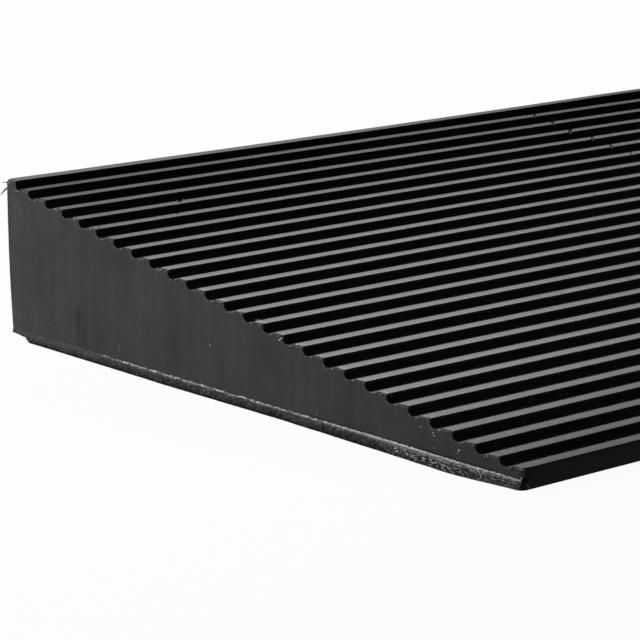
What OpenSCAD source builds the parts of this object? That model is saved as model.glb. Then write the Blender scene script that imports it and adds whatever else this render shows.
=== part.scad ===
// Rubber threshold ramp: a solid wedge core, a ribbed tread bonded to its slope
// and a base sheet bonded to its underside. Nothing on it moves.
// X runs along the doorway, Y from the low front face (-Y) to the high back face (+Y), Z is up.
// The origin is on the floor, under the middle of the ramp.

/* [Ramp] */
// Length along the doorway, over the lips of the base sheet
ramp_length = 900; // [300:5:1500]
// Depth from the front face to the back face
ramp_depth = 200; // [150:1:400]
// Height of the back edge above the floor
ramp_height = 44; // [25:0.5:60]
// Height of the front edge above the floor
front_height = 5; // [4.5:0.1:10]

/* [Ribbed tread] */
// Number of ribs, with the front nosing and the back land counted
rib_count = 27; // [20:1:30]
// Width of a rib's level top
rib_top = 4; // [2:0.1:5]
// Depth of a groove's level floor below the rib in front of it
groove_depth = 0.55; // [0.3:0.05:0.8]
// Width of the level land along the back edge
back_land = 2.8; // [2.4:0.1:6]
// Radius along the top of the back face
back_edge_radius = 0.6; // [0.3:0.1:2]
// Depth of the nosing, where the tread stands on the base sheet in front of the core
nosing_depth = 7; // [5:0.5:15]

/* [Base sheet] */
// Thickness of the base sheet
base_thickness = 3; // [1.5:0.1:3.4]
// How far the base sheet stands out past each end of the wedge, near the front
base_lip = 1.8; // [0.5:0.1:4]
// How far it stands out near the back, because the sheet is trimmed by hand
base_lip_back = 0.2; // [0:0.1:3]
// Height of the slanting knife cut under each back corner
corner_cut_height = 2; // [0.5:0.1:2.5]
// Length of that cut along the doorway
corner_cut_length = 6; // [2:0.5:20]
// Depth of that cut along the end
corner_cut_depth = 11; // [2:0.5:30]
// Depth over which the lip runs out at each front corner
lip_runout = 18; // [5:0.5:40]

/* [Hidden] */

$fn = 48;

front_y = -ramp_depth / 2;
back_y = ramp_depth / 2;
wedge_length = ramp_length - 2 * base_lip;

// The ribs climb in equal steps, from the front nosing to the back land.
rib_pitch = (ramp_depth - back_land) / (rib_count - 1);
rib_rise = (ramp_height - front_height) / (rib_count - 1);
slope = rib_rise / rib_pitch;

// The core thins to a feather edge on the base sheet, right behind the nosing.
feather_y = front_y + nosing_depth;

// Height of a rib's level top, and of the sloping bond between the tread and the core.
function rib_level(rib) = front_height + rib * rib_rise;
function bond_z(y) = base_thickness + (y - feather_y) * slope;

// Stands an outline drawn in Y and Z upright and runs it along the doorway.
module run_along(length) {
    rotate([90, 0, 90])
        translate([0, 0, -length / 2])
            linear_extrude(height = length)
                children();
}

// Solid rubber wedge between the base sheet and the tread.
module wedge_core() {
    color([0.20, 0.20, 0.19])
        run_along(wedge_length)
            polygon([
                [feather_y, base_thickness],
                [back_y, base_thickness],
                [back_y, bond_z(back_y)]
            ]);
}

// Level top and upright walls of one rib, from its back foot to its front foot.
// The groove behind it is shallow. The one in front of it belongs to the rib below.
function rib_points(rib) =
    let (front = front_y + rib * rib_pitch)
    let (back = front + rib_top)
    let (level = rib_level(rib))
    [
        [back, level - groove_depth],
        [back, level],
        [front, level],
        [front, rib_level(rib - 1) - groove_depth]
    ];

// Side view of the tread: the bond, the back land, the ribs from back to front and the nosing.
module tread_outline() {
    bond = [[front_y, base_thickness], [feather_y, base_thickness], [back_y, bond_z(back_y)]];
    land_y = back_y - back_land;
    land_foot = rib_level(rib_count - 2) - groove_depth;
    land = [[back_y, ramp_height], [land_y, ramp_height], [land_y, land_foot]];
    ribs = [for (rib = [rib_count - 2 : -1 : 1]) each rib_points(rib)];
    nosing_back = front_y + rib_top;
    nosing_foot = front_height - groove_depth;
    nosing = [[nosing_back, nosing_foot], [nosing_back, front_height], [front_y, front_height]];
    polygon(concat(bond, land, ribs, nosing));
}

// Corner that the radius takes off the back land.
module back_corner() {
    translate([back_y - back_edge_radius, ramp_height - back_edge_radius])
        difference() {
            square(2 * back_edge_radius);
            circle(back_edge_radius);
        }
}

// Ribbed wear layer on the slope, from the nosing to the back land.
module ribbed_tread() {
    color([0.05, 0.05, 0.05])
        run_along(wedge_length)
            difference() {
                tread_outline();
                back_corner();
            }
}

// Outline of the base sheet on the floor. Its lips run out at the front.
module sheet_outline() {
    wedge_end = wedge_length / 2;
    lip_end = wedge_end + base_lip;
    back_end = wedge_end + base_lip_back;
    polygon([
        [-wedge_end, front_y],
        [wedge_end, front_y],
        [lip_end, front_y + lip_runout],
        [back_end, back_y],
        [-back_end, back_y],
        [-lip_end, front_y + lip_runout]
    ]);
}

// Rubber that the knife takes off under the back corner at +X.
module corner_cut() {
    block = 2 * (corner_cut_length + corner_cut_depth);
    tilt_x = atan(corner_cut_height / corner_cut_depth);
    tilt_y = -atan(corner_cut_height / corner_cut_length);
    translate([wedge_length / 2, back_y, corner_cut_height])
        rotate([tilt_x, tilt_y, 0])
            translate([-block / 2, -block / 2, -block])
                cube(block);
}

// Sheet under the whole ramp, with its two back corners cut away below.
module base_sheet() {
    color([0.15, 0.15, 0.14])
        difference() {
            linear_extrude(height = base_thickness)
                sheet_outline();
            corner_cut();
            mirror([1, 0, 0])
                corner_cut();
        }
}

wedge_core();
ribbed_tread();
base_sheet();
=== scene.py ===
import random
from math import radians

import bpy
from mathutils import Matrix, Vector, noise


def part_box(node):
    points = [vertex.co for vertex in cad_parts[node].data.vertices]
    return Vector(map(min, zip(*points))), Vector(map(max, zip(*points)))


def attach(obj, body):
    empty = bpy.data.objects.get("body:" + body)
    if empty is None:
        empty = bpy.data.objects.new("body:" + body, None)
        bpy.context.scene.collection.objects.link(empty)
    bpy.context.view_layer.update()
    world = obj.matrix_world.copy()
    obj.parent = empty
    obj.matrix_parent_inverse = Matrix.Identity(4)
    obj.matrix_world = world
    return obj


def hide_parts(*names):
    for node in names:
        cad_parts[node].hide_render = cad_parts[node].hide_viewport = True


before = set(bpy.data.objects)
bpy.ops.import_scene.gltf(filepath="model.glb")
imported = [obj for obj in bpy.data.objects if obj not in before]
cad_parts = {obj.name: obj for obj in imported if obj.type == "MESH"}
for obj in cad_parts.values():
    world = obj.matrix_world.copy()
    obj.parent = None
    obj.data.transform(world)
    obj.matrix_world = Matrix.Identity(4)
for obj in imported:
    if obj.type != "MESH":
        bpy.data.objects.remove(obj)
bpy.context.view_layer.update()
bpy.context.scene.view_settings.view_transform = "Standard"

# Base sheet: a 3 mm sheet of rubber under the whole ramp, bonded to the core and to the nosing.
# Its ends are trimmed by hand with a knife, proud of the wedge near the front and flush at the back. The
# upper edge is torn and crumbly, the cut leans under at the floor, and each back corner is cut away below.
sheet_low, sheet_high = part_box("base_sheet")
sheet_thickness = sheet_high.z
wedge_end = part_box("wedge_core")[1].x
front_y = sheet_low.y
back_y = sheet_high.y
sheet_depth = back_y - front_y
front_corner_radius = 0.0018
front_wear = 0.0010
worn_depth = 0.020
back_corner_radius = 0.0010
back_draft = 0.0016
back_draft_height = 0.034
corner_cut_height = 0.0021
corner_cut_depth = 0.0088
corner_cut_step = 0.0008
knife_smoothing = 0.003
foot_overhang = 0.00025
shoulder_height = 0.0005
least_lip = 0.00015
ledge_gap = 0.00004
# Shares of the cut's height: up to where it leans out from the floor, and from where it is crumbly.
leaning_share = 0.25
crumbly_share = 0.6
wall_rows = 7
rows_along = 700
# How far the foot of the cut stands out from the wedge's end, from the front to the back.
lip_places = [
    (-0.100, -0.0004), (-0.094, 0.0001), (-0.088, 0.0010), (-0.078, 0.0020), (-0.071, 0.0015),
    (-0.058, 0.0012), (-0.032, 0.0005), (-0.013, 0.0001), (0.010, 0.0003), (0.030, 0.0004),
    (0.052, 0.0000), (0.100, -0.0004),
]
# Height of the torn upper edge, from the front to the back.
ledge_heights = [(-0.100, 0.0023), (-0.093, 0.0026), (-0.078, 0.0028), (-0.045, 0.0030), (0.100, 0.0030)]
# Distance of each column of the mesh in from the edge, on the underside.
column_insets = [0.0, 0.0005, 0.0012, 0.0025, 0.004, 0.007, 0.012, 0.3]
# On top, the first columns behind the rim are on the torn edge: the share of the lip by which each stands
# out, the share of the shoulder by which it lies lower, and its layer.
torn_columns = [(0.80, 0.50, 1.3), (0.40, 0.15, 1.65), (0.0, 0.0, 2.0)]
# The other columns are under the wedge: how far in each lies on top, and its layer.
inner_columns = [(0.0, 2.2), (0.002, 3.0), (0.010, 3.0), (0.3, 3.0)]


def at_place(places, y):
    """Value at a place along the end, between the places that are given."""
    for (y0, value0), (y1, value1) in zip(places, places[1:]):
        if y <= y1:
            return value0 + (value1 - value0) * max(0.0, y - y0) / (y1 - y0)
    return places[-1][1]


def share_past(value, start, stop):
    """How far a value has come on its way from start to stop, from 0 to 1."""
    return min(1.0, max(0.0, (value - start) / (stop - start)))


def ripple(height, x, y, z):
    """Unevenness of a given height, at a place in a fixed field of noise."""
    return height * noise.noise(Vector((x, y, z)))


def corner_wear(y):
    """How far the front corner of the ramp is worn in from its end."""
    worn = max(0.0, front_y + worn_depth - y) / worn_depth
    return front_wear * worn ** 1.5


def back_inset(z):
    """How far the back face is set in at a height, because the mould draws it in towards the floor."""
    return back_draft * max(0.0, 1 - z / back_draft_height) ** 2


def plan_rounding(radius, inward):
    """How far a corner with a radius is cut back, at a distance in from its other face."""
    short = max(0.0, radius - inward)
    return radius - (radius ** 2 - short ** 2) ** 0.5


def cut_lip(y):
    """Distance from the wedge's end out to the foot of the cut, as the knife left it."""
    around = [at_place(lip_places, y + aside * knife_smoothing) for aside in (-1, -0.5, 0, 0.5, 1)]
    waver = ripple(0.00010, y * 140, 3.1, 0) + ripple(0.00006, y * 520, 8.4, 0)
    return sum(around) / len(around) + waver - plan_rounding(front_corner_radius, y - front_y)


def cut_under(y, inward):
    """Height of the slanting cut under a back corner. The knife stopped in a small step."""
    slant = corner_cut_height - 0.10 * (back_y - y) - 0.33 * inward
    cut_start = back_y - corner_cut_depth
    return max(0.0, slant) * share_past(y, cut_start, cut_start + corner_cut_step)


bpy.ops.object.select_all(action="DESELECT")
column_count = len(column_insets)
bpy.ops.mesh.primitive_grid_add(
    x_subdivisions=2 * column_count - 1, y_subdivisions=rows_along, size=1, location=(0, 0, 0)
)
sheet = bpy.context.object
sheet.name = "base_sheet_rubber"
sheet.scale = (2 * column_count - 1, sheet_depth, 1)
bpy.ops.object.transform_apply(location=False, rotation=False, scale=True)
bpy.ops.object.mode_set(mode="EDIT")
for row in range(wall_rows):
    bpy.ops.mesh.extrude_region_move(TRANSFORM_OT_translate={"value": (0, 0, 1)})
bpy.ops.mesh.select_all(action="SELECT")
bpy.ops.mesh.normals_make_consistent(inside=False)
bpy.ops.object.mode_set(mode="OBJECT")
# The layer says where a point lies on the cut: 0 at its foot, 1 at its rim, 2 where the torn edge meets
# the wedge, and 3 inside.
layer = sheet.data.attributes.new("layer", "FLOAT", "POINT")
for point in sheet.data.vertices:
    side = 1 if point.co.x > 0 else -1
    column = round(column_count - 0.5 - abs(point.co.x))
    height = point.co.z / wall_rows
    y = front_y + (point.co.y - front_y) * (1 - back_inset(sheet_thickness) / sheet_depth)
    back_rounding = plan_rounding(back_corner_radius, back_y - back_inset(sheet_thickness) - y)
    end = wedge_end - corner_wear(y) - plan_rounding(front_corner_radius, y - front_y) - back_rounding
    foot = wedge_end + cut_lip(y) - back_rounding
    rim = max(end + least_lip, foot + foot_overhang)
    wavy = ripple(0.00020, y * 170, side * 2, 0) + ripple(0.00018, y * 430, side * 6, 0)
    ledge = at_place(ledge_heights, y) + share_past(y, -0.050, -0.030) * (wavy - 0.0001)
    grit = ripple(0.00014, y * 900, column * 2.3, side * 5)
    grit += ripple(0.00012, y * 2900, column * 3.7, side * 7)
    low_x = foot - column_insets[column]
    low_z = cut_under(y, max(0.0, wedge_end - low_x))
    if column == 0:
        rough = ripple(0.00016, y * 800 + height * 2, height * 3, side * 4)
        rough += ripple(0.00014, y * 2500, height * 8, side * 9)
        rough *= 0.3 if height == 0 else 1.0
        x = foot + (rim - foot) * min(1.0, height / leaning_share) + rough
        z = low_z + (ledge - shoulder_height - low_z) * height + grit * (height > crumbly_share)
        layer.data[point.index].value = height
    else:
        if column <= len(torn_columns):
            outward, lower, on_top = torn_columns[column - 1]
            high_x = end + ledge_gap + (rim - end) * outward
            high_z = ledge - shoulder_height * lower + grit
        else:
            inward, on_top = inner_columns[column - 1 - len(torn_columns)]
            high_x = end - inward
            high_z = sheet_thickness
        x = low_x + (high_x - low_x) * height
        z = low_z + (high_z - low_z) * height
        layer.data[point.index].value = on_top if height == 1 else 3.0 * (height > 0)
    point.co = (side * x, y, z)
bpy.ops.object.shade_smooth_by_angle(angle=radians(45))


def add_node(tree, kind, inputs=None, **settings):
    """Adds a shader node. An input is given a plain value, or the socket that feeds it."""
    made = tree.nodes.new("ShaderNode" + kind)
    for name, value in settings.items():
        setattr(made, name, value)
    for name, value in (inputs or {}).items():
        if isinstance(value, bpy.types.NodeSocket):
            tree.links.new(value, made.inputs[name])
        else:
            made.inputs[name].default_value = value
    return made


def reckon(tree, operation, *values):
    """Adds a step of arithmetic, and gives its result."""
    return add_node(tree, "Math", dict(enumerate(values)), operation=operation).outputs[0]


def ramped(tree, value, start, stop, at_start=0.0, at_stop=1.0):
    """Adds a number that goes from at_start to at_stop while a value goes from start to stop."""
    return add_node(tree, "MapRange", {
        "Value": value, "From Min": start, "From Max": stop, "To Min": at_start, "To Max": at_stop,
    }).outputs["Result"]


def mottling(tree, place, scale, detail, roughness=0.5):
    """Adds cloudy noise, and gives its strength at a place."""
    return add_node(tree, "TexNoise", {
        "Vector": place, "Scale": scale, "Detail": detail, "Roughness": roughness,
    }).outputs["Fac"]


def blended(tree, factor, colour, other):
    """Adds a mix of two colours, from the first to the other."""
    return add_node(tree, "Mix", {
        "Factor": factor, "A": colour, "B": other,
    }, data_type="RGBA").outputs["Result"]


def shaded(tree, colour, shade):
    """Adds a colour that is made darker or lighter by a number."""
    return add_node(tree, "Mix", {
        "Factor": 1.0, "A": colour, "B": shade,
    }, data_type="RGBA", blend_type="MULTIPLY").outputs["Result"]


def new_group(name, inputs, outputs):
    """Starts a node group with number inputs and outputs, and gives its tree and its two ends."""
    tree = bpy.data.node_groups.new(name, "ShaderNodeTree")
    for label, value in inputs.items():
        socket = tree.interface.new_socket(label, in_out="INPUT", socket_type="NodeSocketFloat")
        socket.default_value = value
    for label in outputs:
        tree.interface.new_socket(label, in_out="OUTPUT", socket_type="NodeSocketFloat")
    return tree, tree.nodes.new("NodeGroupInput").outputs, tree.nodes.new("NodeGroupOutput").inputs


# Grain of moulded rubber: a fine skin that breaks up the sheen, and broad clouds of bloom.
grain_group, given, result = new_group(
    "rubber_grain", {"Skin Scale": 2600.0, "Cloud Scale": 45.0}, ["Skin", "Cloud"]
)
place = add_node(grain_group, "TexCoord").outputs["Object"]
grain_group.links.new(mottling(grain_group, place, given["Skin Scale"], 3.0, 0.6), result["Skin"])
grain_group.links.new(mottling(grain_group, place, given["Cloud Scale"], 5.0, 0.65), result["Cloud"])

# Rubber dust: a pale powder that lies in patches, and loose specks of which each is a small ball.
dust_group, given, result = new_group(
    "rubber_dust", {"Bare": 0.6, "Speck Scale": 450.0, "Speck Share": 0.3, "Speck Size": 0.05}, ["Dust"]
)
place = add_node(dust_group, "TexCoord").outputs["Object"]
powder = mottling(dust_group, place, 1500.0, 2.0, 0.7)
patches = mottling(dust_group, place, 120.0, 4.0, 0.6)
heap = reckon(dust_group, "MULTIPLY", reckon(dust_group, "ADD", powder, patches), 0.5)
lying = ramped(dust_group, heap, given["Bare"], reckon(dust_group, "ADD", given["Bare"], 0.25))
speck = add_node(dust_group, "TexVoronoi", {"Vector": place, "Scale": given["Speck Scale"]}).outputs
near = reckon(dust_group, "LESS_THAN", speck["Distance"], given["Speck Size"])
drawn_lot = add_node(dust_group, "SeparateColor", {0: speck["Color"]}).outputs[0]
chosen = reckon(dust_group, "LESS_THAN", drawn_lot, given["Speck Share"])
ball = reckon(dust_group, "MULTIPLY", near, chosen)
dust_group.links.new(reckon(dust_group, "MAXIMUM", ball, lying), result["Dust"])

# Blade marks: long streaks that a saw or knife leaves, drawn out along the cut.
marks_group, given, result = new_group("blade_marks", {"Across": 420.0, "Upright": 22.0}, ["Marks"])
place = add_node(marks_group, "TexCoord").outputs["Object"]
drawn_out = add_node(marks_group, "CombineXYZ", {"X": 1.0, "Y": given["Across"], "Z": given["Upright"]})
stretched = add_node(marks_group, "VectorMath", {0: place, 1: drawn_out.outputs[0]}, operation="MULTIPLY")
marks_group.links.new(mottling(marks_group, stretched.outputs[0], 1.0, 5.0, 0.6), result["Marks"])


def rubber(name, dark, bloomed, dusty, specular, rough, bare, specks, skin_height, marks=None):
    """Makes a rubber material: dark rubber, paler bloom in clouds, and dust on top."""
    material = bpy.data.materials.new(name)
    material.use_nodes = True
    tree = material.node_tree
    shader = tree.nodes["Principled BSDF"]
    grain = add_node(tree, "Group", node_tree=grain_group).outputs
    dust = add_node(tree, "Group", {"Bare": bare, "Speck Share": specks}, node_tree=dust_group).outputs
    colour = blended(tree, ramped(tree, grain["Cloud"], 0.35, 0.68), (*dark, 1), (*bloomed, 1))
    height = grain["Skin"]
    if marks:
        across, upright, strength = marks
        blade = add_node(tree, "Group", {"Across": across, "Upright": upright}, node_tree=marks_group)
        streak = blade.outputs["Marks"]
        colour = shaded(tree, colour, ramped(tree, streak, 0.3, 0.7, 1 - strength, 1 + strength))
        height = reckon(tree, "MULTIPLY_ADD", streak, 2.0, height)
    bump = add_node(tree, "Bump", {"Height": height, "Strength": 1.0, "Distance": skin_height})
    tree.links.new(blended(tree, dust["Dust"], colour, (*dusty, 1)), shader.inputs["Base Color"])
    tree.links.new(ramped(tree, grain["Skin"], 0.3, 0.7, *rough), shader.inputs["Roughness"])
    tree.links.new(bump.outputs["Normal"], shader.inputs["Normal"])
    shader.inputs["Specular IOR Level"].default_value = specular
    return material


def open_rubber(material):
    """Gives a rubber material's tree, its shader, its place on the piece and its colour so far."""
    tree = material.node_tree
    shader = tree.nodes["Principled BSDF"]
    place = add_node(tree, "TexCoord").outputs["Object"]
    return tree, shader, place, shader.inputs["Base Color"].links[0].from_socket


sheet_moulded = rubber(
    "sheet_moulded", dark=(0.003, 0.003, 0.003), bloomed=(0.0045, 0.0045, 0.0045), dusty=(0.05, 0.05, 0.048),
    specular=0.06, rough=(0.45, 0.60), bare=0.67, specks=0.1, skin_height=0.00002,
)
sheet_trimmed = rubber(
    "sheet_trimmed", dark=(0.012, 0.0118, 0.0112), bloomed=(0.036, 0.035, 0.033), dusty=(0.17, 0.165, 0.155),
    specular=0.08, rough=(0.60, 0.85), bare=0.58, specks=0.5, skin_height=0.00010, marks=(900.0, 500.0, 0.5),
)
sawn_rubber = rubber(
    "sawn_rubber", dark=(0.0400, 0.0374, 0.0360), bloomed=(0.0550, 0.0518, 0.0500),
    dusty=(0.13, 0.121, 0.108), specular=0.06, rough=(0.60, 0.80), bare=0.60, specks=0.35,
    skin_height=0.00002, marks=(300.0, 16.0, 0.10),
)
# On the cut, the torn upper edge is grey, partly torn rubber and partly a painted highlight where it faces
# up, the wall is mottled, the foot is dark with painted shade, and a line along the middle is dark. Near the
# front the knife has left the wall and its foot paler and the painted shade at the foot is lighter, and at
# the back the cut is olive.
torn_grey_and_highlight = (0.075, 0.073, 0.069, 1)
olive_rubber = (0.036, 0.034, 0.029, 1)
tree, shader, place, cut_colour = open_rubber(sheet_trimmed)
along = add_node(tree, "SeparateXYZ", {0: place}).outputs["Y"]
on_cut = add_node(tree, "Attribute", attribute_name="layer").outputs["Fac"]
torn_layer = reckon(tree, "MULTIPLY_ADD", mottling(tree, place, 1500.0, 4.0, 0.75), 1.1, on_cut)
fine_mottle = mottling(tree, place, 3600.0, 2.0, 0.7)
blotch = mottling(tree, place, 750.0, 3.0, 0.6)
patchy = reckon(tree, "MULTIPLY_ADD", blotch, 0.4, reckon(tree, "MULTIPLY", fine_mottle, 1.6))
spots = ramped(tree, patchy, 0.82, 1.22, 0.25, 2.8)
paler = ramped(tree, along, -0.066, -0.050, 1.7, 1.1)
# Painted shade along the foot of the cut, where it leans under; near the front it is held lighter.
painted_foot_shade = ramped(tree, torn_layer, 0.84, 1.08, 0.08, 1.0)
painted_foot_shade_lift = ramped(tree, along, -0.070, -0.055, 0.8, 0.0)
painted_foot_shade = reckon(tree, "MAXIMUM", painted_foot_shade, painted_foot_shade_lift)
off_middle = reckon(tree, "ABSOLUTE", reckon(tree, "SUBTRACT", torn_layer, 1.15))
blade_line = ramped(tree, off_middle, 0.0, 0.14, 0.45, 1.0)
line_end = ramped(tree, along, 0.048, 0.062, 1.0, 0.0)
# The upward-facing torn edge is grey: partly torn rubber, partly a painted highlight.
torn_and_highlight_share = reckon(tree, "MULTIPLY", ramped(tree, torn_layer, 1.50, 1.75, 0.0, 0.8), line_end)
cut_colour = blended(tree, torn_and_highlight_share, cut_colour, torn_grey_and_highlight)
cut_colour = blended(tree, ramped(tree, along, 0.045, 0.064, 0.0, 0.85), cut_colour, olive_rubber)
for shade in (spots, paler, painted_foot_shade, blade_line):
    cut_colour = shaded(tree, cut_colour, shade)
# Slanting scratches of the knife, most of them near the front.
scratch_grey = (0.45, 0.445, 0.425, 1)
slanted = add_node(tree, "Mapping", {
    "Vector": place, "Rotation": (radians(38), 0, 0), "Scale": (500, 650, 4200),
}).outputs[0]
scratched = ramped(tree, mottling(tree, slanted, 1.0, 2.0, 0.6), 0.59, 0.67)
scratched = reckon(tree, "MULTIPLY", scratched, ramped(tree, along, -0.068, -0.050, 0.8, 0.15))
cut_colour = blended(tree, scratched, cut_colour, scratch_grey)
# A pale line where the torn edge meets the wedge: partly crumbs and dust, partly a painted highlight on the
# edge. Behind the front it is fainter and has gaps, and it ends before the back corner.
crumb_and_highlight_white = (0.85, 0.84, 0.80, 1)
line_start = ramped(tree, along, -0.070, -0.030, 2.12, 1.85)
crumb_and_highlight_line = ramped(tree, reckon(tree, "SUBTRACT", torn_layer, line_start), 0.0, 0.12)
fainter = ramped(tree, along, -0.065, -0.020, 1.0, 0.60)
broken = ramped(tree, fine_mottle, 0.40, 0.56, 0.2, 1.0)
gaps = ramped(tree, mottling(tree, place, 330.0, 3.0, 0.7), 0.43, 0.58, 0.05, 1.25)
gaps = reckon(tree, "MAXIMUM", gaps, ramped(tree, along, -0.055, -0.030, 1.0, 0.0))
for thinning in (fainter, line_end, broken, gaps):
    crumb_and_highlight_line = reckon(tree, "MULTIPLY", crumb_and_highlight_line, thinning)
cut_colour = blended(tree, crumb_and_highlight_line, cut_colour, crumb_and_highlight_white)
tree.links.new(cut_colour, shader.inputs["Base Color"])
for material in (sheet_moulded, sheet_trimmed, sawn_rubber):
    sheet.data.materials.append(material)
# The step up to the wedge at the front, and what lies behind it, looks like the wedge's sawn end.
trimmed_index = 1
sawn_index = 2
trimmed_width = 0.0015
for face in sheet.data.polygons:
    past_end = abs(face.center.x) - wedge_end + corner_wear(face.center.y)
    step = past_end < 0.00004 and abs(face.normal.x) > 0.9 and face.center.z > 0.0015
    behind_step = past_end < 0.00002 and face.center.z > sheet_thickness - 0.00005
    if step or behind_step:
        face.material_index = sawn_index
    elif past_end > -trimmed_width and abs(face.normal.y) < 0.7 and face.center.y > front_y + 0.0008:
        face.material_index = trimmed_index
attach(sheet, "root")
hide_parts("base_sheet")

# Wedge core: the solid rubber wedge, moulded and then sawn to length.
# The sawn end is dark grey and matt, with faint upright saw marks and one shallow score. The back face
# has mould draft, so its foot is set in from its top.
wear_slices = (0.008, 0.011, 0.015, 0.020)
score_y = 0.0676
score_depth = 0.00006
score_half_width = 0.0007
score_low = 0.0050
score_high = 0.0145
# Heights of new edges across the wedge: two at each end of the score, and three up the drafted back.
core_slices = (0.0040, 0.0055, 0.0140, 0.0150, 0.019, 0.025, 0.032)


def piece_from_node(node, name):
    """Starts a piece from a node's mesh, merged and with whole faces."""
    bpy.ops.object.select_all(action="DESELECT")
    piece = bpy.data.objects.new(name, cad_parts[node].data.copy())
    bpy.context.collection.objects.link(piece)
    piece.data.materials.clear()
    bpy.context.view_layer.objects.active = piece
    piece.select_set(True)
    bpy.ops.mesh.customdata_custom_splitnormals_clear()
    bpy.ops.object.mode_set(mode="EDIT")
    bpy.ops.mesh.select_all(action="SELECT")
    bpy.ops.mesh.remove_doubles(threshold=0.000001)
    bpy.ops.mesh.dissolve_limited(angle_limit=radians(1))
    bpy.ops.object.mode_set(mode="OBJECT")
    return piece


def pick_edges(piece, wanted):
    """Selects the edges whose two ends pass a test, and leaves the piece in edit mode."""
    bpy.ops.object.mode_set(mode="EDIT")
    bpy.ops.mesh.select_mode(type="EDGE")
    bpy.ops.mesh.select_all(action="DESELECT")
    bpy.ops.object.mode_set(mode="OBJECT")
    points = piece.data.vertices
    for edge in piece.data.edges:
        edge.select = wanted(points[edge.vertices[0]].co, points[edge.vertices[1]].co)
    bpy.ops.object.mode_set(mode="EDIT")


def slice_across(place, normal):
    """Cuts a new line of edges through the whole piece that is being worked on."""
    bpy.ops.object.mode_set(mode="EDIT")
    bpy.ops.mesh.select_all(action="SELECT")
    bpy.ops.mesh.bisect(plane_co=place, plane_no=normal)
    bpy.ops.object.mode_set(mode="OBJECT")


def cut_away(piece, cutter):
    """Takes the cutter's shape out of the piece and throws the cutter away."""
    bpy.ops.object.select_all(action="DESELECT")
    bpy.context.view_layer.objects.active = piece
    piece.select_set(True)
    cut = piece.modifiers.new("cut", "BOOLEAN")
    cut.operation = "DIFFERENCE"
    cut.solver = "EXACT"
    cut.object = cutter
    bpy.ops.object.modifier_apply(modifier=cut.name)
    bpy.data.objects.remove(cutter)


def upright_at_back(a, b):
    """Test for the edges that stand at the back corners."""
    return min(a.y, b.y) > back_y - 0.002 and abs(a.z - b.z) > 0.0005


core = piece_from_node("wedge_core", "wedge_core_rubber")
for depth in wear_slices:
    slice_across((0, front_y + depth, 0), (0, 1, 0))
for height in core_slices:
    slice_across((0, 0, height), (0, 0, 1))
for aside in (-score_half_width, 0.0, score_half_width):
    slice_across((0, score_y + aside, 0), (0, 1, 0))
for point in core.data.vertices:
    point.co.x -= corner_wear(point.co.y) * (1 if point.co.x > 0 else -1)
    if point.co.y > back_y - 0.001:
        point.co.y -= back_inset(point.co.z)
    in_score = abs(point.co.y - score_y) < 0.0001 and score_low < point.co.z < score_high
    if point.co.x < 0 and in_score:
        point.co.x += score_depth
pick_edges(core, upright_at_back)
bpy.ops.mesh.bevel(offset=back_corner_radius, segments=4, affect="EDGES")
bpy.ops.object.mode_set(mode="OBJECT")
bpy.ops.object.shade_smooth_by_angle(angle=radians(30))
core.data.materials.append(rubber(
    "core_moulded", dark=(0.012, 0.012, 0.012), bloomed=(0.020, 0.020, 0.019), dusty=(0.06, 0.06, 0.057),
    specular=0.12, rough=(0.45, 0.65), bare=0.66, specks=0.1, skin_height=0.00002,
))
# The score is darkened and soft: partly a rub mark, partly painted shade in its shallow groove. The end is a
# little darker along its back edge, and near the front a painted shadow lies along its joint with the sheet.
core_sawn = sawn_rubber.copy()
core_sawn.name = "core_sawn"
tree, shader, place, core_colour = open_rubber(core_sawn)
spot = add_node(tree, "SeparateXYZ", {0: place}).outputs
waver = 0.0012
wavy_y = reckon(tree, "MULTIPLY_ADD", mottling(tree, place, 500.0, 3.0, 0.6), waver, spot["Y"])
off_score = reckon(tree, "ABSOLUTE", reckon(tree, "SUBTRACT", wavy_y, score_y + waver / 2))
# Darkening along the score: a rub mark and painted shade in its groove.
score_rub_and_shade = ramped(tree, off_score, 0.0, 0.0012, 1.0, 0.0)
score_foot = ramped(tree, spot["Z"], 0.0010, 0.0085)
score_head = ramped(tree, spot["Z"], 0.0140, 0.0155, 1.0, 0.0)
near_end = reckon(tree, "LESS_THAN", spot["X"], 0.0)
for mask in (score_foot, score_head, near_end):
    score_rub_and_shade = reckon(tree, "MULTIPLY", score_rub_and_shade, mask)
score_rub_and_shade = reckon(tree, "MULTIPLY_ADD", score_rub_and_shade, -0.36, 1.0)
back_edge = ramped(tree, wavy_y, 0.0984, 0.0998, 1.0, 0.65)
# A painted shadow along the joint with the sheet near the front, where a thin gap lies above the torn edge.
above_joint = ramped(tree, spot["Z"], 0.0032, 0.0034)
painted_joint_shadow = reckon(tree, "MAXIMUM", above_joint, ramped(tree, spot["Y"], -0.035, -0.010, 0.55, 1.0))
for shade in (score_rub_and_shade, back_edge, painted_joint_shadow):
    core_colour = shaded(tree, core_colour, shade)
tree.links.new(core_colour, shader.inputs["Base Color"])
core.data.materials.append(core_sawn)
for face in core.data.polygons:
    face.material_index = int(abs(face.normal.x) > 0.9)
    if abs(face.normal.x) > 0.9:
        face.use_smooth = False
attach(core, "root")
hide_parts("wedge_core")

# Ribbed tread: the black wear layer, moulded with level-topped ribs and bonded to the core's slope.
# The ribs' edges are rounded by the mould, the nosing turns up a little, and the saw has left the rib
# ends soft and ragged. A line of small nicks crosses six ribs.
rib_count = 27
rib_top = 0.004
groove_depth = 0.00055
back_land = 0.0028
front_height = 0.005
rib_pitch = (back_y - front_y - back_land) / (rib_count - 1)
rib_rise = (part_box("ribbed_tread")[1].z - front_height) / (rib_count - 1)
feather_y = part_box("wedge_core")[0].y
slope = rib_rise / rib_pitch
nosing_lift = 0.00028
nosing_lift_depth = 0.015
drag_length = 0.0012
drag_drop = 0.00030
drag_inward = 0.00022
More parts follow.
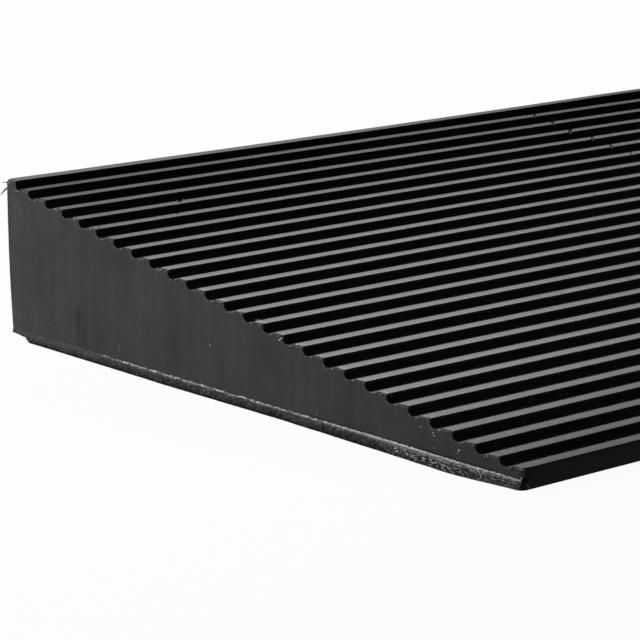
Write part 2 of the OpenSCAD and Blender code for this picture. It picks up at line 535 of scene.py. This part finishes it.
# Points above the foot are raised with the land along the back edge. Faces above the level are its top.
land_foot = 0.0432
land_level = 0.0437
land_lift = 0.00045
land_sag = 0.00026
land_spread = 0.0012
land_flare = 0.0006
# Points of the tread that lie higher than this above its bond belong to the ribs and grooves.
above_bond = 0.0003
end_slices = (0.0001, 0.0003, 0.0007, 0.0013, 0.0025)
# Roundings along every rib: how far behind its front wall the edge lies, how high from its top, the radius
# and the number of steps. The first is the cove at the foot of its front wall.
rib_roundings = [
    (0.0, -rib_rise - groove_depth, 0.0017, 6),
    (0.0, 0.0, 0.00018, 3),
    (rib_top, 0.0, 0.00045, 3),
]


def rib_edge(offset, height):
    """Test for one long edge of every rib: how far behind its front wall, and how high from its top."""
    def wanted(a, b):
        rib = round((a.y - front_y - offset) / rib_pitch)
        behind = a.y - front_y - rib * rib_pitch
        above = a.z - front_height - rib * rib_rise
        on_edge = abs(behind - offset) < 0.0001 and abs(above - height) < 0.0001
        return on_edge and abs(a.x - b.x) > 0.5 and a.z > sheet_thickness + 0.0001
    return wanted


def across_rib_top(a, b):
    """Test for the short level edges that cross a rib's top."""
    return a.x == b.x and abs(a.z - b.z) < 0.00001 and 0.0025 < abs(a.y - b.y) < 0.0045


def land_rise(x):
    """How far the land along the back edge stands up. It sags between each end and the middle."""
    return land_lift - land_sag * max(0.0, 1 - abs(abs(x) - 0.33) / 0.11) ** 0.5


def turned_up(y):
    """How far the nosing and the first ribs stand above their even climb."""
    return nosing_lift * max(0.0, front_y + nosing_lift_depth - y) / nosing_lift_depth


tread = piece_from_node("ribbed_tread", "ribbed_tread_rubber")
for offset, height, radius, segments in rib_roundings:
    pick_edges(tread, rib_edge(offset, height))
    bpy.ops.mesh.bevel(offset=radius, segments=segments, affect="EDGES")
bpy.ops.mesh.select_mode(type="FACE")
bpy.ops.mesh.select_all(action="DESELECT")
bpy.ops.object.mode_set(mode="OBJECT")
# The two end faces are the only ones with so many corners.
for face in tread.data.polygons:
    face.select = len(face.vertices) > 100
bpy.ops.object.mode_set(mode="EDIT")
bpy.ops.mesh.inset(thickness=0.00015)
for depth in wear_slices:
    slice_across((0, front_y + depth, 0), (0, 1, 0))
pick_edges(tread, across_rib_top)
bpy.ops.mesh.subdivide(number_cuts=7)
for division in range(2):
    pick_edges(tread, lambda a, b: abs(a.x - b.x) > 0.05)
    bpy.ops.mesh.subdivide(number_cuts=9)
for depth in end_slices:
    for side in (-1, 1):
        slice_across((side * (wedge_end - depth), 0, 0), (1, 0, 0))
for point in tread.data.vertices:
    x, y, z = point.co
    side = 1 if x > 0 else -1
    from_end = wedge_end - abs(x)
    rib = round((y - front_y - rib_top / 2) / rib_pitch)
    above_floor = z - front_height - rib * rib_rise + groove_depth
    bond = sheet_thickness + max(0.0, y - feather_y) * slope
    at_front = max(0.0, 1 - (y - front_y) / 0.004)
    at_back = max(0.0, 1 - (back_y - y) / 0.0025)
    point.co.y += at_front * plan_rounding(front_corner_radius, from_end)
    point.co.y -= at_back * plan_rounding(back_corner_radius, from_end)
    if z < bond + above_bond:
        point.co.z -= (y - point.co.y) * slope * (y > feather_y)
    if z > bond + above_bond:
        point.co.z += turned_up(y)
        point.co.y += ripple(0.00006, x * 45, rib * 7.3, 1.0)
        point.co.z += ripple(0.00004, x * 38, rib * 5.1, 6.0)
        dragged = max(0.0, 1 - from_end / drag_length) ** 2 * share_past(above_floor, 0.0, groove_depth)
        dragged *= 0.7 + ripple(0.8, y * 1300, z * 900, side)
        point.co.z -= drag_drop * dragged
        point.co.x -= side * drag_inward * dragged
    in_land = y - back_y + back_land
    if -0.0018 < in_land < 0.0006 and z > bond + above_bond:
        point.co.y -= land_spread + land_flare * share_past(abs(x), 0.24, 0.36)
    if z > land_foot:
        point.co.z += land_rise(x) - 0.0004 * at_back * max(0.0, 1 - from_end / 0.0015)
    point.co.x -= side * corner_wear(y)

# The nicks cross the rib tops. Each is given by its rib, its distance from the near end, its width and how
# far behind the rib's front its middle lies.
nicks = [
    (20, 0.1982, 0.0007, 0.0016), (21, 0.1977, 0.0011, 0.0020), (22, 0.1973, 0.0013, 0.0020),
    (23, 0.1951, 0.0014, 0.0018), (24, 0.1954, 0.0012, 0.0020), (25, 0.1949, 0.0009, 0.0020),
    (17, 0.1576, 0.0005, 0.0005), (22, 0.0373, 0.0012, 0.0037), (21, 0.0309, 0.0006, 0.0042),
]
nick_turn = radians(-41)
bpy.ops.object.mode_set(mode="OBJECT")
bpy.ops.object.select_all(action="DESELECT")
cutters = []
for rib, from_end, width, behind in nicks:
    nick_y = front_y + rib * rib_pitch + behind
    nick_z = front_height + rib * rib_rise + 0.0001
    bpy.ops.mesh.primitive_cube_add(
        size=1, rotation=(0, radians(45), nick_turn), location=(-wedge_end + from_end, nick_y, nick_z)
    )
    cutter = bpy.context.object
    cutter.scale = (width * 0.8, rib_top * 1.4, width * 0.8)
    cutters.append(cutter)
for cutter in cutters:
    cutter.select_set(True)
bpy.ops.object.join()
cut_away(tread, bpy.context.object)
bpy.ops.object.shade_smooth_by_angle(angle=radians(35))
tread_moulded = rubber(
    "tread_moulded", dark=(0.003, 0.003, 0.003), bloomed=(0.005, 0.005, 0.005), dusty=(0.05, 0.05, 0.048),
    specular=0.18, rough=(0.34, 0.42), bare=0.67, specks=0.2, skin_height=0.00001,
)
# The saw has rubbed the tip of each rib top matt and grey, with a ragged edge.
worn_grey = (0.045, 0.0435, 0.042, 1)
worn_rough = 0.85
tree, shader, place, tread_colour = open_rubber(tread_moulded)
spot = add_node(tree, "SeparateXYZ", {0: place}).outputs
from_middle = reckon(tree, "ABSOLUTE", spot["X"])
torn_place = reckon(tree, "MULTIPLY_ADD", mottling(tree, place, 1500.0, 3.0, 0.65), 0.0024, from_middle)
worn_end = ramped(tree, torn_place, wedge_end + 0.0004, wedge_end + 0.0009)
climbed = reckon(tree, "SUBTRACT", spot["Y"], front_y - 0.0002)
behind_rib_front = reckon(tree, "MODULO", climbed, rib_pitch)
on_rib = reckon(tree, "LESS_THAN", behind_rib_front, rib_top + 0.0003)
worn = reckon(tree, "MULTIPLY", worn_end, on_rib)
tread_colour = blended(tree, worn, tread_colour, worn_grey)
# The skin is smoothest in a band along the middle, and duller towards the front and the back.
band_y = -0.015
off_band = reckon(tree, "ABSOLUTE", reckon(tree, "SUBTRACT", spot["Y"], band_y))
skin_roughness = shader.inputs["Roughness"].links[0].from_socket
dulled = reckon(tree, "ADD", skin_roughness, ramped(tree, off_band, 0.030, 0.110, 0.0, 0.26))
worn_roughness = add_node(tree, "Mix", {"Factor": worn, "A": dulled, "B": worn_rough})
# White dust lies in drifts on the first ribs, and thinly on the others.
dust_white = (0.80, 0.79, 0.76, 1)
drift = add_node(tree, "Group", {
    "Bare": 0.9, "Speck Scale": 900.0, "Speck Share": 0.8, "Speck Size": 0.09,
}, node_tree=dust_group).outputs["Dust"]
swept = ramped(tree, spot["Y"], -0.075, -0.030, 1.0, 0.12)
gathered = ramped(tree, mottling(tree, place, 140.0, 2.0), 0.36, 0.52)
for thinning in (swept, gathered):
    drift = reckon(tree, "MULTIPLY", drift, thinning)
tread_colour = blended(tree, drift, tread_colour, dust_white)
tree.links.new(tread_colour, shader.inputs["Base Color"])
tree.links.new(worn_roughness.outputs["Result"], shader.inputs["Roughness"])
# The nosing's front face takes a darker, less glossy copy of the tread's rubber: painted shade, as it faces
# away from the light.
nosing_painted_shade = rubber(
    "nosing_painted_shade", dark=(0.003, 0.003, 0.003), bloomed=(0.004, 0.004, 0.004), dusty=(0.05, 0.05, 0.048),
    specular=0.06, rough=(0.45, 0.60), bare=0.67, specks=0.2, skin_height=0.00001,
)
land_dusty = rubber(
    "land_dusty", dark=(0.045, 0.0440, 0.035), bloomed=(0.075, 0.0735, 0.060), dusty=(0.14, 0.137, 0.115),
    specular=0.07, rough=(0.46, 0.58), bare=0.60, specks=0.3, skin_height=0.00001,
)
# The land is cleaner away from the ends.
tree, shader, place, land_colour = open_rubber(land_dusty)
from_middle = reckon(tree, "ABSOLUTE", add_node(tree, "SeparateXYZ", {0: place}).outputs["X"])
land_colour = shaded(tree, land_colour, ramped(tree, from_middle, 0.20, 0.36, 0.5, 1.0))
tree.links.new(land_colour, shader.inputs["Base Color"])
for material in (tread_moulded, sawn_rubber, nosing_painted_shade, land_dusty):
    tread.data.materials.append(material)
rib_end_index = 1
nosing_index = 2
land_index = 3
for face in tread.data.polygons:
    if abs(face.normal.x) > 0.6:
        face.material_index = rib_end_index
        face.use_smooth = abs(face.normal.x) < 0.98
    elif face.normal.y < -0.7 and face.center.y < front_y + 0.001:
        face.material_index = nosing_index
    elif face.center.z > land_level and face.normal.z > 0.3:
        face.material_index = land_index
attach(tread, "root")
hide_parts("ribbed_tread")

# Torn edges: shreds of the tread's own rubber, which the saw left hanging by their roots along the ends
# of the ribs and of the grooves. Each is a bent, tapered strip, paler than the skin because it is torn, and
# painted paler still to stand in for light on its shaded side.
shreds_on_rib = 8
shreds_on_groove = 10
cove_radius = rib_roundings[0][2]
chance = random.Random(7)


def bent_strip(bends, taper_y):
    """Makes a five-sided strip of length 1, from bends that go sideways and up and keep a share of the width.
    It tapers to a line that runs beside its middle."""
    bpy.ops.object.select_all(action="DESELECT")
    bpy.ops.mesh.primitive_circle_add(vertices=5, radius=1, fill_type="NGON", location=(0, 0, 0))
    strip = bpy.context.object
    bpy.ops.object.mode_set(mode="EDIT")
    bpy.ops.mesh.select_all(action="SELECT")
    aside = 0.0
    risen = 0.0
    for sideways, upward, share in bends:
        aside += sideways
        risen += upward
        bpy.ops.mesh.extrude_region_move(TRANSFORM_OT_translate={"value": (sideways, 0, upward)})
        bpy.ops.transform.resize(value=(share, share, 1), center_override=(aside, taper_y, risen))
    bpy.ops.mesh.select_all(action="SELECT")
    bpy.ops.mesh.normals_make_consistent(inside=False)
    bpy.ops.object.mode_set(mode="OBJECT")
    return strip


def set_copy(shape, root, direction, width, length):
    """Puts a copy of a shape at its root, pointing along a direction."""
    copy = shape.copy()
    copy.data = shape.data.copy()
    bpy.context.collection.objects.link(copy)
    turn = direction.to_track_quat("Z", "X")
    copy.matrix_world = Matrix.LocRotScale(root, turn, Vector((width, width, length)))
    return copy


def join_copies(copies, shape, name):
    """Joins the copies into one piece and throws the first shape away."""
    bpy.data.objects.remove(shape)
    bpy.context.view_layer.update()
    bpy.ops.object.select_all(action="DESELECT")
    for copy in copies:
        copy.select_set(True)
    bpy.context.view_layer.objects.active = copies[0]
    bpy.ops.object.join()
    bpy.ops.object.transform_apply(location=True, rotation=True, scale=True)
    piece = bpy.context.object
    piece.name = name
    return piece


def groove_floor(behind):
    """Height of a groove's floor from the top of the rib in front of it, with the cove at its back."""
    into_cove = max(0.0, behind - rib_pitch + cove_radius)
    return plan_rounding(cove_radius, cove_radius - into_cove) - groove_depth


shred = bent_strip([(0.3, 0.5, 0.75), (0.9, 0.5, 0.3)], 0.0)
shreds = []
for side in (-1, 1):
    for rib in range(rib_count):
        rib_front = front_y + rib * rib_pitch
        level = front_height + rib * rib_rise
        for count in range(shreds_on_rib):
            y = rib_front + chance.uniform(0.0003, min(rib_top, back_y - rib_front - 0.0015))
            x = side * (wedge_end - corner_wear(y) - 0.0003)
            root = Vector((x, y, level + turned_up(y) - 0.0004))
            aim = Vector((side, chance.uniform(-0.7, 0.7), chance.uniform(-0.8, 0.7)))
            width = chance.uniform(0.00007, 0.00016)
            shreds.append(set_copy(shred, root, aim, width, chance.uniform(0.0004, 0.0008)))
        for count in range(shreds_on_groove if rib < rib_count - 1 else 0):
            y = rib_front + chance.uniform(rib_top, rib_pitch - 0.0004)
            x = side * (wedge_end - corner_wear(y) - 0.0001)
            root = Vector((x, y, level + groove_floor(y - rib_front) - 0.0001))
            aim = Vector((side, chance.uniform(-0.5, 0.5), chance.uniform(-1.0, 0.2)))
            width = chance.uniform(0.00006, 0.00011)
            shreds.append(set_copy(shred, root, aim, width, chance.uniform(0.0003, 0.0005)))
torn_edges = join_copies(shreds, shred, "torn_edges")
# The torn rubber is pale, and is painted paler still to stand in for light on the shaded sides of shreds and
# grains.
torn_rubber_painted_light = rubber(
    "torn_rubber_painted_light", dark=(0.30, 0.295, 0.285), bloomed=(0.55, 0.545, 0.53), dusty=(0.65, 0.64, 0.62),
    specular=0.10, rough=(0.50, 0.70), bare=0.60, specks=0.3, skin_height=0.00002,
)
torn_edges.data.materials.append(torn_rubber_painted_light)
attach(torn_edges, "root")

# Crumbs: loose grains of rubber, which lie on the ribs and in the grooves and cling to the near end and to
# the cut edge of the sheet. Each is a small rough lump, pressed a little into what carries it.
crumb_radius = 0.00019
fine_crumbs = 140
fine_share = 0.55
dusty_ribs = 8
# Grains on the tread, each by its rib, its distance from the near end and how far behind the rib's front.
crumbs_on_tread = [
    (13, 0.0255, 0.0039), (13, 0.0352, 0.0061), (10, 0.0352, 0.0062), (1, 0.0386, 0.0062),
    (1, 0.0398, 0.0012), (3, 0.0595, 0.0061), (22, 0.0362, 0.0038), (22, 0.0384, 0.0036),
    (21, 0.0309, 0.0044), (21, 0.0018, 0.0008), (20, 0.0011, 0.0006),
]
# Grains on the near end, each by its distance from the middle of the depth and its height.
crumbs_on_end = [
    (0.0114, 0.0139), (-0.0799, 0.0055), (-0.0796, 0.0048), (-0.0711, 0.0079), (-0.0714, 0.0073),
    (-0.0669, 0.0085), (-0.0715, 0.0044), (-0.0891, 0.0060), (0.0772, 0.0393), (0.0684, 0.0378),
    (0.0616, 0.0363),
]
# Grains on the cut edge of the sheet, likewise.
crumbs_on_cut = [
    (-0.0588, 0.0006), (-0.0062, 0.0024), (-0.0724, 0.0007), (-0.0668, 0.0008), (-0.0748, 0.0011),
    (-0.0764, 0.0010), (-0.0770, 0.0008), (-0.0775, 0.0006), (-0.0799, 0.0007), (-0.0822, 0.0013),
    (-0.0826, 0.0011), (-0.0831, 0.0008), (-0.0898, 0.0008),
]
bpy.ops.object.select_all(action="DESELECT")
bpy.ops.mesh.primitive_ico_sphere_add(subdivisions=1, radius=1, location=(0, 0, 0))
crumb = bpy.context.object
bpy.ops.object.mode_set(mode="EDIT")
bpy.ops.mesh.select_all(action="SELECT")
bpy.ops.transform.resize(value=(1.0, 0.8, 0.7), center_override=(0, 0, 0))
bpy.ops.transform.vertex_random(offset=0.25, seed=3)
bpy.ops.object.mode_set(mode="OBJECT")
single_crumbs = len(crumbs_on_tread)
for count in range(fine_crumbs):
    rib = chance.randrange(dusty_ribs)
    from_end = chance.uniform(0.003, 0.120)
    crumbs_on_tread.append((rib, from_end, chance.uniform(0.0002, rib_pitch - 0.0004)))
# Each grain is a place and a size.
grains = []
for number, (rib, from_end, behind) in enumerate(crumbs_on_tread):
    y = front_y + rib * rib_pitch + behind
    level = front_height + rib * rib_rise + turned_up(y)
    lift = 0.0 if behind < rib_top else groove_floor(behind)
    fineness = 1.0 if number < single_crumbs else fine_share
    root = Vector((-wedge_end + from_end, y, level + lift + 0.6 * crumb_radius))
    grains.append((root, chance.uniform(0.8, 1.3) * crumb_radius * fineness))
for y, z in crumbs_on_end:
    x = -wedge_end + corner_wear(y) - 0.4 * crumb_radius
    grains.append((Vector((x, y, z)), chance.uniform(1.0, 1.4) * crumb_radius))
for y, z in crumbs_on_cut:
    x = -wedge_end - cut_lip(y) - foot_overhang - 0.4 * crumb_radius
    grains.append((Vector((x, y, z)), chance.uniform(0.9, 1.3) * crumb_radius))
lumps = []
for root, size in grains:
    turn = Vector((chance.uniform(-1, 1), chance.uniform(-1, 1), chance.uniform(-1, 1)))
    lumps.append(set_copy(crumb, root, turn, size, size))
crumbs = join_copies(lumps, crumb, "rubber_crumbs")
# The grains on the tread take the torn rubber, painted paler to stand in for light on their shaded sides.
crumbs.data.materials.append(torn_rubber_painted_light)
pale_rubber = rubber(
    "pale_rubber", dark=(0.62, 0.615, 0.60), bloomed=(0.82, 0.815, 0.80), dusty=(0.85, 0.84, 0.82),
    specular=0.10, rough=(0.50, 0.70), bare=0.60, specks=0.3, skin_height=0.00002,
)
crumbs.data.materials.append(pale_rubber)
# The grains on the near end and on the cut are the pale ones.
for face in crumbs.data.polygons:
    face.material_index = int(face.center.x < -wedge_end + 0.0008)
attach(crumbs, "root")

# Fibres: thin threads of torn rubber. A tuft hangs off the back top corner, some lie across the trimmed
# edge near the front, and a few cling to the near end. Each is fixed by its root.
shreds_on_cut = 26
dim = 0
pale = 1
# Each by its tone, its width, its root and its tip. Root and tip are given by how far out from the near end
# they lie, their distance from the middle of the depth and their height.
fibre_ends = [
    (dim, 0.00018, (-0.0004, 0.0988, 0.0431), (0.0003, 0.1012, 0.0434)),
    (dim, 0.00020, (-0.0004, 0.0989, 0.0424), (0.0004, 0.1019, 0.0399)),
    (dim, 0.00014, (-0.0004, 0.0989, 0.0420), (0.0003, 0.1007, 0.0409)),
    (dim, 0.00009, (-0.0004, 0.0989, 0.0422), (0.0006, 0.1023, 0.0392)),
    (pale, 0.00009, (0.0009, -0.0866, 0.0027), (0.0019, -0.0884, 0.0022)),
    (pale, 0.00009, (0.0018, -0.0883, 0.0022), (0.0019, -0.0887, 0.0010)),
    (dim, 0.00009, (0.0004, -0.0997, 0.0023), (0.0007, -0.0992, 0.0006)),
    (pale, 0.00008, (-0.0007, -0.0997, 0.0021), (-0.0016, -0.1001, 0.0005)),
    (pale, 0.00003, (-0.0001, -0.0297, 0.0034), (0.0006, -0.0303, 0.0054)),
    (pale, 0.00003, (0.0002, -0.0296, 0.0031), (0.0010, -0.0304, 0.0016)),
    (pale, 0.00002, (-0.0001, 0.0498, 0.0089), (0.0002, 0.0499, 0.0030)),
    (pale, 0.00012, (-0.0001, -0.0153, 0.0199), (0.0003, -0.0172, 0.0210)),
    (pale, 0.00008, (-0.0003, -0.0068, 0.0229), (0.0003, -0.0082, 0.0243)),
    (pale, 0.00008, (-0.0003, -0.0066, 0.0229), (0.0004, -0.0071, 0.0240)),
    (pale, 0.00007, (-0.0003, -0.0072, 0.0229), (0.0002, -0.0090, 0.0237)),
    (dim, 0.00007, (-0.0018, 0.0602, 0.0364), (-0.0017, 0.0600, 0.0376)),
]
fibre_bends = [(0.8, 0.25, 0.95), (0.3, 0.25, 0.9), (-0.9, 0.25, 0.8), (-0.2, 0.25, 0.4)]
fibre = bent_strip(fibre_bends, 0.095492)
fibre.data.materials.append(rubber(
    "fibre_rubber", dark=(0.11, 0.11, 0.095), bloomed=(0.20, 0.198, 0.175), dusty=(0.35, 0.34, 0.31),
    specular=0.10, rough=(0.50, 0.70), bare=0.62, specks=0.3, skin_height=0.00002,
))
fibre.data.materials.append(pale_rubber)


def off_near_end(out, y, z):
    """A place by how far out from the near end it lies, from the middle of the depth and its height."""
    return Vector((-wedge_end + corner_wear(y) - out, y, z))


def set_thread(tone, root, run, width, length):
    """Puts a thread of a tone at its root, running along a direction."""
    for face in fibre.data.polygons:
        face.material_index = tone
    return set_copy(fibre, root, run, width, length)


threads = []
for tone, width, root_place, tip_place in fibre_ends:
    root = off_near_end(*root_place)
    run = off_near_end(*tip_place) - root
    threads.append(set_thread(tone, root, run, width, run.length))
# Short shreds that the knife left on the cut near the front, at both ends of the ramp.
for side in (-1, 1):
    for count in range(shreds_on_cut):
        y = chance.uniform(-0.080, -0.058)
        x = side * (wedge_end + cut_lip(y) + foot_overhang - 0.0001)
        root = Vector((x, y, chance.uniform(0.0010, 0.0019)))
        outward = side * chance.uniform(0.1, 0.4)
        run = Vector((outward, chance.choice((-0.8, 0.8)), chance.uniform(-0.4, 0.5)))
        width = chance.uniform(0.00005, 0.00011)
        threads.append(set_thread(pale, root, run, width, chance.uniform(0.0007, 0.0016)))
fibres = join_copies(threads, fibre, "rubber_fibres")
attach(fibres, "root")

# Floor: a plain white studio floor, which keeps the ramp's soft shadow. It is clear from below, so that the
# underside of the ramp can be looked at.
floor_size = 16
floor_drop = 0.0001
white_share = 0.95
bpy.ops.mesh.primitive_plane_add(size=floor_size, location=(0, 0, -floor_drop))
floor = bpy.context.object
floor.name = "studio_floor"
white_floor = bpy.data.materials.new("white_floor")
white_floor.use_nodes = True
tree = white_floor.node_tree
tree.nodes.remove(tree.nodes["Principled BSDF"])
path = add_node(tree, "LightPath").outputs
seen = reckon(tree, "MAXIMUM", path["Is Camera Ray"], path["Is Glossy Ray"])
seen = reckon(tree, "MAXIMUM", seen, path["Is Transmission Ray"])
seen_white = reckon(tree, "MULTIPLY", seen, white_share)
matt = add_node(tree, "BsdfDiffuse", {"Color": (0.75, 0.75, 0.75, 1)})
white = add_node(tree, "Emission", {"Color": (1, 1, 1, 1), "Strength": 1.0})
top_side = add_node(tree, "MixShader", {0: seen_white, 1: matt.outputs[0], 2: white.outputs[0]})
clear = add_node(tree, "BsdfTransparent")
from_below = add_node(tree, "NewGeometry").outputs["Backfacing"]
both_sides = add_node(tree, "MixShader", {0: from_below, 1: top_side.outputs[0], 2: clear.outputs[0]})
tree.links.new(both_sides.outputs[0], tree.nodes["Material Output"].inputs["Surface"])
floor.data.materials.append(white_floor)

# Studio light: a plain grey room, a soft box on the left for the sawn end, and a large soft box high
# behind the ramp, whose light the level rib tops reflect and the rib walls keep out of the grooves.
world = bpy.data.worlds.new("studio")
bpy.context.scene.world = world
world.use_nodes = True
room = world.node_tree.nodes["Background"].inputs
room["Color"].default_value = (1, 1, 1, 1)
room["Strength"].default_value = 0.07
# Each box by its name, its place, what it is aimed at, its width, its height and its power in watts.
soft_boxes = [
    ("left_box", (-0.85, 0.62, 0.45), (-wedge_end, 0.05, 0.02), 0.5, 0.5, 9),
    ("back_box", (0.38, 0.94, 0.72), (-0.35, 0.0, 0.02), 0.69, 0.31, 8),
]
for name, location, target, width, height, watts in soft_boxes:
    lamp = bpy.data.objects.new(name, bpy.data.lights.new(name, "AREA"))
    bpy.context.collection.objects.link(lamp)
    lamp.data.shape = "RECTANGLE"
    lamp.data.size = width
    lamp.data.size_y = height
    lamp.data.energy = watts
    lamp.location = location
    lamp.rotation_euler = (Vector(target) - Vector(location)).to_track_quat("-Z", "Y").to_euler()

# Camera: a long lens close to the floor, off the near front corner of the ramp.
looking_down = radians(13.034)
turned_right = radians(40.937)
camera = bpy.data.objects.new("camera", bpy.data.cameras.new("camera"))
bpy.context.collection.objects.link(camera)
camera.data.sensor_width = 36
camera.data.lens = 166.8
camera.location = (-wedge_end - 0.4565, front_y - 0.4571, 0.1891)
camera.rotation_euler = (radians(90) - looking_down, 0, -turned_right)
bpy.context.scene.camera = camera
